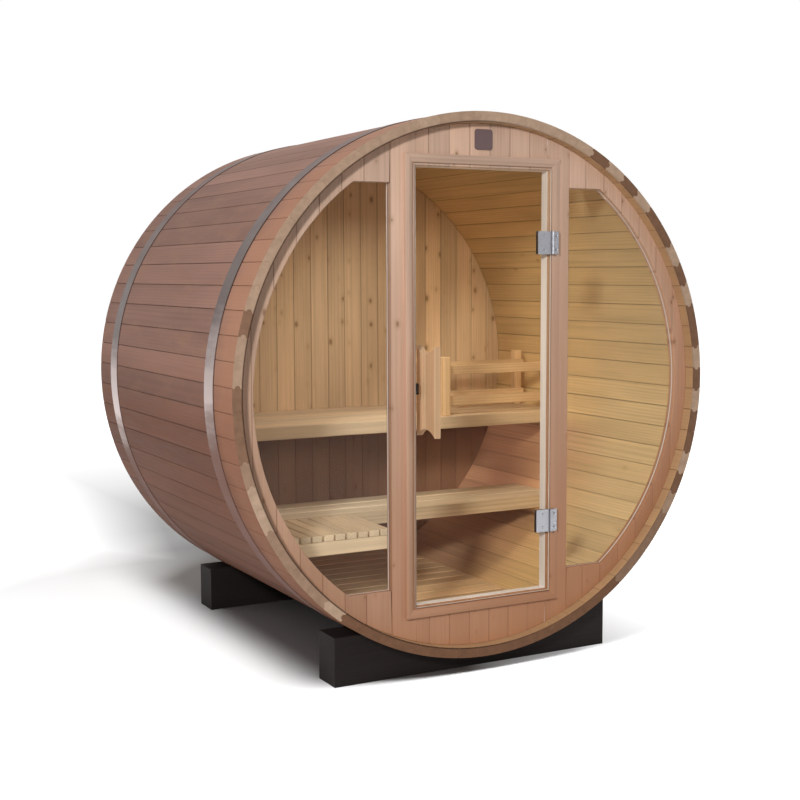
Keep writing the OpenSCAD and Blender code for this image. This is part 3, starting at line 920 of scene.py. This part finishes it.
class SAUNA_OT_staves(Operator):
    """Builds the staves of the barrel, an eighth of them in each piece"""

    bl_idname = "sauna.staves"
    bl_label = "Staves"

    def execute(self, context):
        sizes, colours = context.scene.sauna_sizes, context.scene.sauna_colours
        count = sizes.stave_count
        finishes = [
            stave_outside(colours, count), stave_inside(colours, count),
            stave_ends(colours, OUTER_R - sizes.stave_thickness),
        ]
        blank = stave_blank(sizes)
        pitch = 2 * math.pi / count
        each = count // len(STAVE_NODES)

        def tone(where):
            return end_tone(round(angle_of(where) / pitch), count)

        for eighth, node in enumerate(STAVE_NODES):
            bm = bmesh.new()
            for i in range(each):
                part = blank.copy()
                angle = eighth * math.pi / 4 + (i - (each - 1) / 2) * pitch
                turn_mesh(part, angle, MIDDLE)
                join(bm, part)
            mark_boards(bm, node, tone)
            place_piece("boarded_" + node, bm, finishes, "sauna", [node], stave_side)
        blank.free()
        return {"FINISHED"}


class SAUNA_OT_bands(Operator):
    """Builds the two flat steel bands"""

    bl_idname = "sauna.bands"
    bl_label = "Bands"

    def execute(self, context):
        sizes, colours = context.scene.sauna_sizes, context.scene.sauna_colours
        steel = band_steel(colours)
        for node in BAND_NODES:
            low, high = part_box(node)
            bm = bmesh.new()
            bmesh.ops.create_grid(bm, x_segments=1, y_segments=1, size=0.5)
            bmesh.ops.delete(bm, geom=bm.faces[:], context="FACES_ONLY")
            turn_mesh(bm, math.pi / 2)
            bmesh.ops.scale(bm, vec=(1, high.y - low.y, high.x - OUTER_R), verts=bm.verts)
            bmesh.ops.translate(
                bm, vec=(0, (low.y + high.y) / 2, AXIS_Z + (OUTER_R + high.x) / 2), verts=bm.verts)
            bmesh.ops.spin(
                bm, geom=bm.verts[:] + bm.edges[:], cent=MIDDLE, axis=(0, 1, 0),
                angle=2 * math.pi, steps=BAND_STEPS, use_merge=True, use_duplicate=False)
            bmesh.ops.remove_doubles(bm, verts=bm.verts, dist=MERGE_WITHIN)
            bmesh.ops.recalc_face_normals(bm, faces=bm.faces)
            ease(bm, sizes.steel_ease, least=60)
            place_piece("rolled_" + node, bm, [steel], "sauna", [node])
        return {"FINISHED"}


class SAUNA_OT_cradles(Operator):
    """Builds the two dark cradle beams"""

    bl_idname = "sauna.cradles"
    bl_label = "Cradles"

    def execute(self, context):
        sizes, colours = context.scene.sauna_sizes, context.scene.sauna_colours
        stained = wood("cradle_stain", "X", colours.cradle, knots=4.0, contrast=0.35, spread=0.1,
                       rough=0.66)
        stained.set(Specular_IOR_Level=0.15)
        for node in ("front_cradle", "rear_cradle"):
            bm = node_mesh(node)
            ease(bm, sizes.cradle_ease, segments=3)
            mark_boards(bm, node)
            place_piece("sawn_" + node, bm, [stained.material], "sauna", [node])
        return {"FINISHED"}


def wall_mesh(node, sizes):
    """A wall whose edge in the croze is pulled back to the inside of the staves."""
    bm = node_mesh(node)
    inner = OUTER_R - sizes.stave_thickness - CROZE_ROOM
    for vert in bm.verts:
        reach = radius_of(vert.co)
        if reach > inner:
            share = inner / reach
            vert.co.x *= share
            vert.co.z = AXIS_Z + (vert.co.z - AXIS_Z) * share
    return bm


def boarded(bm, sizes):
    """Splits a wall into upright boards with eased edges."""
    places = [v.co.x for v in bm.verts]
    low, high = min(places), max(places)
    first = math.floor((low - sizes.board_start) / sizes.board_width)
    last = math.ceil((high - sizes.board_start) / sizes.board_width)
    joints = [sizes.board_start + i * sizes.board_width for i in range(first, last + 1)]
    least = sizes.board_width / 4
    joints = [low] + [x for x in joints if low + least < x < high - least] + [high]
    whole = bmesh.new()
    for left, right in zip(joints, joints[1:]):
        part = bm.copy()
        if left > low:
            cut_off(part, (left, 0, 0), (-1, 0, 0))
        if right < high:
            cut_off(part, (right, 0, 0), (1, 0, 0))
        bmesh.ops.dissolve_limit(
            part, angle_limit=BOARD_FLAT_WITHIN, verts=part.verts, edges=part.edges)
        ease(part, sizes.board_ease, least=40)
        join(whole, part)
    bm.free()
    return whole


class SAUNA_OT_rear_wall(Operator):
    """Builds the rear wall of upright boards"""

    bl_idname = "sauna.rear_wall"
    bl_label = "Rear Wall"

    def execute(self, context):
        sizes, colours = context.scene.sauna_sizes, context.scene.sauna_colours
        inside = wood("rear_boards", "Z", colours.inside, knots=12.5, contrast=0.34, spread=0.15,
                      flat="Y", knot_radius=0.006, seam=0.5)
        height = inside.parts(inside.place)[2]
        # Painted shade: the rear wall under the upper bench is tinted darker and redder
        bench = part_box("upper_bench_slats")[0].z
        under = inside.spread(height, bench - 0.1, bench, 0.8, 0.0)
        shaded = inside.mix(0.5, colour(colours.rear_wall_shade), inside.wood, "MULTIPLY")
        inside.set(Base_Color=inside.mix(under, inside.wood, shaded))
        outside = wood("rear_boards_outside", "Z", colours.wall, knots=5.0, contrast=0.4, flat="Y",
                       seam=0.5)
        bm = boarded(wall_mesh("rear_wall", sizes), sizes)
        mark_boards(bm, "rear_wall")
        place_piece("boarded_rear_wall", bm, [inside.material, outside.material], "sauna",
                    ["rear_wall"], lambda face: 1 if face.normal.y > 0.4 else 0)
        return {"FINISHED"}


def front_wood(name, grain, colours, knots, value=1.0, seam=0.0):
    """Wood of the front wall, paler at the upper left, with painted shade that turns it warmer and
    darker towards the lower right.
    """
    f = wood(name, grain, colours.wall, knots=knots, contrast=0.2, spread=0.13, flat="Y",
             seam=seam)
    x, _, z = f.parts(f.place)
    # Painted shade: the wood turns warmer and darker towards the lower right, where light falls
    # off
    fall = f.minus(f.times(x, 0.5), z)
    warm = f.mix(0.5, colour(colours.wall_warm_and_shade), f.wood, "SOFT_LIGHT")
    f.set(Base_Color=f.tint(f.mix(f.spread(fall, -1.9, -0.1, 0.0, 0.95), f.wood, warm), value))
    return f.material


def in_doorway(face):
    """1 on the faces that line the door's opening, and 0 on the others."""
    where = face.calc_center_median()
    low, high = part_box("door_glass")
    clear = low.x < where.x < high.x and low.z < where.z < high.z
    return 1 if clear and abs(face.normal.y) < 0.5 else 0


class SAUNA_OT_front_wall(Operator):
    """Builds the stiles and the boarded pieces of the front wall"""

    bl_idname = "sauna.front_wall"
    bl_label = "Front Wall"

    def execute(self, context):
        sizes, colours = context.scene.sauna_sizes, context.scene.sauna_colours
        boards = front_wood("front_boards", "Z", colours, knots=9.0, seam=0.4)
        darker = front_wood("left_boards", "Z", colours, knots=9.0, value=0.85, seam=0.4)
        fresh = wood("jamb_wood", "Z", colours.jamb, knots=2.0, contrast=0.15,
                     spread=0.05).material
        for node in ("left_stile", "right_stile"):
            bm = wall_mesh(node, sizes)
            ease(bm, sizes.board_ease, least=40)
            mark_boards(bm, node)
            place_piece("planed_" + node, bm, [boards, fresh], "sauna", [node],
                        in_doorway)
        for node, shade in (("door_head_panel", boards), ("door_sill_panel", boards),
                            ("left_window_surround", darker), ("right_window_surround", boards)):
            bm = boarded(wall_mesh(node, sizes), sizes)
            mark_boards(bm, node)
            place_piece("boarded_" + node, bm, [shade, fresh], "sauna", [node],
                        in_doorway)
        return {"FINISHED"}


def pane_side(face):
    """0 for the clear sides of a pane, 1 for its lit edges and 2 for the one at its left."""
    if abs(face.normal.y) > 0.95:
        return 0
    return 2 if face.normal.x < -0.5 else 1


class SAUNA_OT_windows(Operator):
    """Builds the two fixed panes"""

    bl_idname = "sauna.windows"
    bl_label = "Windows"

    def execute(self, context):
        finishes = pane_finishes("window", bend=1.18, tint=(0.985, 0.995, 0.985))
        for node in ("left_window_glass", "right_window_glass"):
            bm = node_mesh(node)
            ease(bm, context.scene.sauna_sizes.pane_edge, segments=1, least=40)
            place_piece("clear_" + node, bm, finishes, "sauna", [node], pane_side)
        return {"FINISHED"}


def lengthwise(edge):
    """Whether an edge runs along a trim board that lies level."""
    return abs(edge.verts[0].co.x - edge.verts[1].co.x) > TRIM_LONG


class SAUNA_OT_door_trim(Operator):
    """Builds the four mitred trim boards round the door"""

    bl_idname = "sauna.door_trim"
    bl_label = "Door Trim"

    def execute(self, context):
        sizes, colours = context.scene.sauna_sizes, context.scene.sauna_colours
        upright = front_wood("trim_upright", "Z", colours, knots=2.5, value=0.90)
        level = front_wood("trim_level", "X", colours, knots=2.5, value=0.90)
        centre = Vector((0, 0, sum(corner.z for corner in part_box("door_trim_left")) / 2))
        for node, turns in (("door_trim_head", 0.0), ("door_trim_right", 0.5),
                            ("door_trim_sill", 1.0), ("door_trim_left", 1.5)):
            low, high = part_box(node)
            flat = node in ("door_trim_head", "door_trim_sill")
            width = (high.z - low.z) if flat else (high.x - low.x)
            length = (high.x - low.x) if flat else (high.z - low.z)
            reach = abs((low.z + high.z) / 2 - centre.z) if flat else abs((low.x + high.x) / 2)
            bm = bmesh.new()
            back, face = high.y, low.y
            profile = [
                (back, 0.0), (back - sizes.trim_lip, 0.0), (face, sizes.trim_slope),
                (face, width), (back, width),
            ]
            verts = [bm.verts.new((-length / 2, y, reach - width / 2 + w)) for y, w in profile]
            section = bmesh.ops.contextual_create(bm, geom=verts)["faces"][0]
            draw_out(bm, section, (length, 0, 0))
            for end in (-1, 1):
                cut_off(bm, (end * length / 2, 0, reach + width / 2), (end, 0, -1))
            ease(bm, sizes.trim_ease, least=20, keep=lengthwise)
            turn_mesh(bm, turns * math.pi)
            bmesh.ops.translate(bm, vec=centre, verts=bm.verts)
            mark_boards(bm, node)
            finish = level if flat else upright
            place_piece("moulded_" + node, bm, [finish], "sauna", [node])
        return {"FINISHED"}


class SAUNA_OT_door(Operator):
    """Builds the door's glass and its wooden handles"""

    bl_idname = "sauna.door"
    bl_label = "Door"

    def execute(self, context):
        sizes, colours = context.scene.sauna_sizes, context.scene.sauna_colours
        bm = box_mesh(*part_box("door_glass"))
        ease(bm, sizes.pane_edge, segments=1)
        finishes = pane_finishes("door", bend=1.12, tint=(0.99, 0.955, 0.88))
        place_piece("clear_door_glass", bm, finishes, "door", ["door_glass"], pane_side)
        for node, light in (("handle_outside", colours.handle),
                            ("handle_inside", colours.inner_handle)):
            bm = node_mesh(node)
            ease(bm, sizes.handle_ease, segments=3)
            mark_boards(bm, node)
            grip = wood(node + "_wood", "Z", light, knots=3.0, contrast=0.4, spread=0.06,
                        rough=0.5)
            place_piece("shaped_" + node, bm, [grip.material], "door", [node])
        return {"FINISHED"}


def screw_head(bm, place, radius):
    """Adds one raised screw head with a sunk middle, facing the front."""
    part = bmesh.new()
    face_front = Matrix.Rotation(math.pi / 2, 4, "X")
    bmesh.ops.create_cone(
        part, cap_ends=True, segments=16, radius1=radius, radius2=radius * 0.72,
        depth=radius * 0.5, matrix=Matrix.Translation(place) @ face_front)
    front = min(part.faces, key=lambda f: f.calc_center_median().y)
    bmesh.ops.inset_region(part, faces=[front], thickness=radius * 0.38)
    bmesh.ops.translate(part, vec=(0, radius * 0.3, 0), verts=front.verts[:])
    join(bm, part)


class SAUNA_OT_hinges(Operator):
    """Builds the hinge leaves, their pins and their screws"""

    bl_idname = "sauna.hinges"
    bl_label = "Hinges"

    def execute(self, context):
        sizes = context.scene.sauna_sizes
        steel = hinge_steel(context.scene.sauna_colours)
        for node, body, share in (("frame_hinge_leaves", "sauna", 1.0),
                                  ("hinge_pins", "sauna", 0.5),
                                  ("door_hinge_leaves", "door", 1.0)):
            bm = node_mesh(node)
            ease(bm, sizes.steel_ease * share, least=50)
            place_piece("milled_" + node, bm, [steel], body, [node])
        for node, body in (("frame_hinge_leaves", "sauna"), ("door_hinge_leaves", "door")):
            plates = node_mesh(node)
            screws = bmesh.new()
            for _, faces in islands(plates):
                flat = [f for f in faces if f.normal.y < -0.99]
                if not flat:
                    continue
                plate = max(flat, key=lambda f: f.calc_area())
                mid = middle([plate])
                if mid.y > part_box("door_glass")[0].y:
                    continue
                low = min(v.co.z for v in plate.verts)
                high = max(v.co.z for v in plate.verts)
                for share in SCREW_SHARES:
                    place = Vector((mid.x, mid.y - SCREW_RISE, low + (high - low) * share))
                    screw_head(screws, place, sizes.screw_radius)
            plates.free()
            place_piece(node.replace("leaves", "screws"), screws, [steel], body, [])
        return {"FINISHED"}


def through_plate(edge):
    """Whether an edge runs through the plate from front to back."""
    return abs(edge.verts[0].co.y - edge.verts[1].co.y) > LEVEL_WITHIN


class SAUNA_OT_small_parts(Operator):
    """Builds the bare plate over the door and the catch on the jamb"""

    bl_idname = "sauna.small_parts"
    bl_label = "Plate and Catch"

    def execute(self, context):
        sizes, colours = context.scene.sauna_sizes, context.scene.sauna_colours
        dark = brushed("plate_metal", colours.plate, "X", rough=0.42, metal=0.7).material
        black = brushed("catch_metal", colours.catch, "X", rough=0.45, metal=0.3).material
        bm = box_mesh(*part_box("bare_plate"))
        ease(bm, sizes.plate_corner, segments=6, keep=through_plate)
        ease(bm, sizes.steel_ease, least=60)
        place_piece("rounded_bare_plate", bm, [dark], "sauna", ["bare_plate"])
        bm = box_mesh(*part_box("door_catch"))
        ease(bm, sizes.steel_ease)
        place_piece("milled_door_catch", bm, [black], "sauna", ["door_catch"])
        return {"FINISHED"}


class SAUNA_OT_benches(Operator):
    """Builds the benches, the guard rail and the floor"""

    bl_idname = "sauna.benches"
    bl_label = "Benches and Floor"

    def execute(self, context):
        sizes, colours = context.scene.sauna_sizes, context.scene.sauna_colours
        shades = {
            "bench": (colours.bench, 0.42, 0.1), "lower": (colours.lower_bench, 0.42, 0.1),
            "guard": (colours.guard, 0.42, 0.1), "inner": (colours.inside, 0.45, 0.12),
        }
        materials = {}
        for kind, grain in sorted({part[1:] for part in BENCH_PARTS}):
            light, contrast, spread = shades[kind]
            materials[kind, grain] = wood(
                f"{kind}_wood_{grain.lower()}", grain, light, knots=4.5, contrast=contrast,
                spread=spread, rough=0.55).material
        for node, kind, grain in BENCH_PARTS:
            bm = node_mesh(node)
            ease(bm, sizes.slat_ease, least=35)
            mark_boards(bm, node)
            place_piece("planed_" + node, bm, [materials[kind, grain]], "sauna", [node])
        return {"FINISHED"}


# Stage

def lamp(name, place, aim, size, tint, power):
    """A soft square lamp that shines at a point and isn't seen itself."""
    light = bpy.data.lights.new(name, "AREA")
    light.shape = "SQUARE"
    light.size = size
    light.energy = power
    light.color = tint
    holder = bpy.data.objects.new(name, light)
    holder.location = place
    holder.rotation_mode = "QUATERNION"
    holder.rotation_quaternion = (Vector(aim) - Vector(place)).to_track_quat("-Z", "Y")
    holder.visible_camera = False
    bpy.context.scene.collection.objects.link(holder)
    return holder


def some_pieces(holder, names, state):
    """Pieces that a lamp, or its shadow, takes in or leaves out."""
    group = bpy.data.collections.new(holder.name + "_pieces")
    for name in names:
        group.objects.link(bpy.data.objects[name])
    for entry in group.collection_objects:
        entry.light_linking.link_state = state
    return group


class SAUNA_OT_stage(Operator):
    """Sets up the camera, the lamps, the sky and the pale floor"""

    bl_idname = "sauna.stage"
    bl_label = "Stage"

    def execute(self, context):
        scene, stage = context.scene, context.scene.sauna_stage
        self.camera(scene, stage)
        self.floor(scene)
        self.lamps(stage)
        self.sky(scene, stage)
        scene.view_settings.view_transform = "Standard"
        return {"FINISHED"}

    def lamps(self, stage):
        lamps = {}
        for name, place, aim, size, tint in LAMPS:
            power = getattr(stage, name + "_power")
            lamps[name] = lamp(name + "_lamp", place, aim, size, tint, power)
            lamps[name].visible_glossy = name == "key"
            lamps[name].visible_transmission = name not in ("room", "bench")
        lamps["bench"].data.spread = BENCH_BEAM
        furniture = ["boarded_rear_wall"] + [
            "planed_" + node for node, _, _ in BENCH_PARTS if "fascia" not in node]
        curved = ["boarded_staves_right", "boarded_staves_bottom_right"]
        for name, pieces, state in (
            ("key", ["pale_floor"], "EXCLUDE"), ("fill", ["pale_floor"], "EXCLUDE"),
            ("back", ["pale_floor"], "EXCLUDE"), ("floor", ["pale_floor"], "INCLUDE"),
            ("inside", furniture, "INCLUDE"), ("bench", curved, "INCLUDE"),
        ):
            lamps[name].light_linking.receiver_collection = some_pieces(lamps[name], pieces, state)
        open_side = ["planed_right_stile", "moulded_door_trim_right"]
        key_links = lamps["key"].light_linking
        key_links.blocker_collection = some_pieces(lamps["key"], open_side, "EXCLUDE")

    def camera(self, scene, stage):
        data = bpy.data.cameras.new("photo_camera")
        data.sensor_width = SENSOR_WIDTH
        data.lens = stage.camera_lens
        turn, tilt = stage.camera_turn, stage.camera_tilt
        ahead = Vector((
            math.sin(turn) * math.cos(tilt), math.cos(turn) * math.cos(tilt), -math.sin(tilt)))
        right = Vector((math.cos(turn), -math.sin(turn), 0.0))
        up = right.cross(ahead)
        rolled = Matrix.Rotation(stage.camera_roll, 3, -ahead)
        basis = Matrix((rolled @ right, rolled @ up, -ahead)).transposed().to_4x4()
        camera = bpy.data.objects.new("photo_camera", data)
        camera.matrix_world = Matrix.Translation(stage.camera_place) @ basis
        scene.collection.objects.link(camera)
        scene.camera = camera

    def sky(self, scene, stage):
        world = bpy.data.worlds.new("studio")
        world.use_nodes = True
        scene.world = world
        web = Wiring(world.node_tree)
        plain = web.nodes["Background"]
        web.put(plain.inputs["Color"], dimmed(WHITE, 1.0))
        web.put(plain.inputs["Strength"], stage.sky)
        white = web.add("ShaderNodeBackground", {"Color": dimmed(WHITE, 1.0), "Strength": 1.0})
        web.show("World Output", web.add(
            "ShaderNodeMixShader", {0: web.seen(), 1: plain.outputs[0], 2: white.outputs[0]}))

    def floor(self, scene):
        bm = bmesh.new()
        bmesh.ops.create_grid(bm, x_segments=1, y_segments=1, size=FLOOR_HALF)
        mesh = bpy.data.meshes.new("pale_floor")
        bm.to_mesh(mesh)
        bm.free()
        f = Finish("pale_floor")
        x, y, _ = f.parts(f.place)
        seen = f.seen()
        pale = f.mix(f.noise(f.place, 0.8), dimmed(WHITE, 0.49), dimmed(WHITE, 0.51))
        # A soft shade lies behind the barrel, along a line that slants to the right
        aside = f.apart(x, f.spread(y, 0.0, 10.0, -0.43, 1.87))
        stretch = f.smaller(f.spread(y, 1.4, 2.0), f.spread(y, 2.6, 4.4, 1.0, 0.1))
        dim = f.minus(1.0, f.times(f.spread(aside, 0.35, 1.0, 0.5, 0.0), stretch))
        lit = f.times(dim, f.spread(seen, 0.0, 1.0, 0.32, 1.0))
        f.set(Base_Color=f.tint(pale, lit), Roughness=0.9, Specular_IOR_Level=0.0)
        # The rest fades to white away from the barrel
        behind = f.larger(f.spread(aside, 0.37, 1.52), f.spread(y, 3.0, 7.5))
        reach = f.far_from(f.place, (-0.6, 0.5, 0.0))
        around = f.larger(f.spread(reach, 1.25, 2.6), f.spread(x, 0.35, 0.72))
        glow = f.add("ShaderNodeEmission", {"Strength": f.times(seen, f.smaller(around, behind))})
        f.show("Material Output", f.add(
            "ShaderNodeAddShader", {0: f.shader.outputs[0], 1: glow.outputs[0]}))
        mesh.materials.append(f.material)
        floor = bpy.data.objects.new("pale_floor", mesh)
        scene.collection.objects.link(floor)


OPERATORS = (
    SAUNA_OT_staves, SAUNA_OT_bands, SAUNA_OT_cradles, SAUNA_OT_rear_wall,
    SAUNA_OT_front_wall, SAUNA_OT_windows, SAUNA_OT_door_trim, SAUNA_OT_door, SAUNA_OT_hinges,
    SAUNA_OT_small_parts, SAUNA_OT_benches, SAUNA_OT_stage,
)


class SAUNA_PT_pieces(Panel):
    """Lists the sizes, colours and pieces of the sauna"""

    bl_idname = "SAUNA_PT_pieces"
    bl_label = "Barrel Sauna"
    bl_space_type = "VIEW_3D"
    bl_region_type = "UI"
    bl_category = "Sauna"

    def draw(self, context):
        scene = context.scene
        for title, group in (("Sizes", scene.sauna_sizes), ("Colours", scene.sauna_colours),
                             ("Stage", scene.sauna_stage)):
            part = self.layout.box()
            part.label(text=title)
            for name in group.__annotations__:
                part.prop(group, name)
        for operator in OPERATORS:
            self.layout.operator(operator.bl_idname)


CLASSES = (SaunaSizes, SaunaColours, SaunaStage, *OPERATORS, SAUNA_PT_pieces)


def register():
    for cls in CLASSES:
        bpy.utils.register_class(cls)
    bpy.types.Scene.sauna_sizes = PointerProperty(type=SaunaSizes)
    bpy.types.Scene.sauna_colours = PointerProperty(type=SaunaColours)
    bpy.types.Scene.sauna_stage = PointerProperty(type=SaunaStage)


def unregister():
    del bpy.types.Scene.sauna_stage
    del bpy.types.Scene.sauna_colours
    del bpy.types.Scene.sauna_sizes
    for cls in reversed(CLASSES):
        bpy.utils.unregister_class(cls)


def main():
    register()
    bpy.ops.sauna.staves()
    bpy.ops.sauna.bands()
    bpy.ops.sauna.cradles()
    bpy.ops.sauna.rear_wall()
    bpy.ops.sauna.front_wall()
    bpy.ops.sauna.windows()
    bpy.ops.sauna.door_trim()
    bpy.ops.sauna.door()
    bpy.ops.sauna.hinges()
    bpy.ops.sauna.small_parts()
    bpy.ops.sauna.benches()
    bpy.ops.sauna.stage()


if __name__ == "__main__":
    main()
